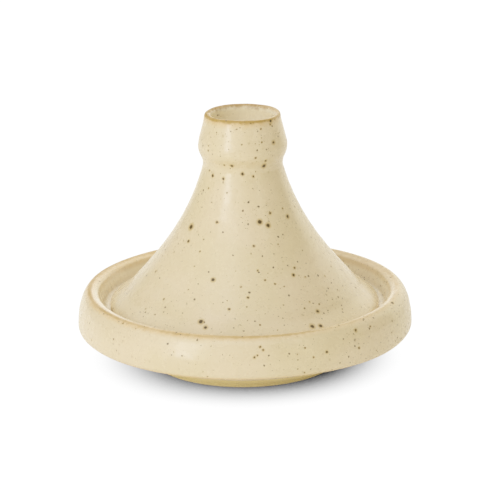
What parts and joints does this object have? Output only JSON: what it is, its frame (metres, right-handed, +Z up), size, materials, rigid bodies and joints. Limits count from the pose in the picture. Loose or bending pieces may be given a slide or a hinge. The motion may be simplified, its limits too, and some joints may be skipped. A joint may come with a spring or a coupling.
{
  "type": "tagine pot",
  "caption": "Round glazed stoneware tagine: a wide dish with a thick raised rim on a foot ring, and a loose conical lid with a hollow cup-shaped knob, seated on a ledge inside the rim.",
  "frame": {"origin": "centre of the foot ring's resting face, at the bottom of the dish", "axes": "+Z up, along the axis about which dish and lid are both turned; +X and +Y are free, because both pieces are round"},
  "size_m": [0.18, 0.18, 0.1359],
  "materials": {
    "dish_glaze": "satin cream glaze with iron speckle, breaking to brown at the lip; bare golden clay on the foot ring",
    "lid_glaze": "satin cream glaze with iron speckle, breaking to brown at the knob's mouth; bare clay on the seat"
  },
  "bodies": {
    "dish": {"dish": "dish_glaze"},
    "lid": {"lid": "lid_glaze"}
  },
  "joints": [
    {"name": "lid_lift", "type": "slide", "parent": "dish", "child": "lid", "axis": [0, 0, 1], "range_m": [0, 0.12]}
  ]
}
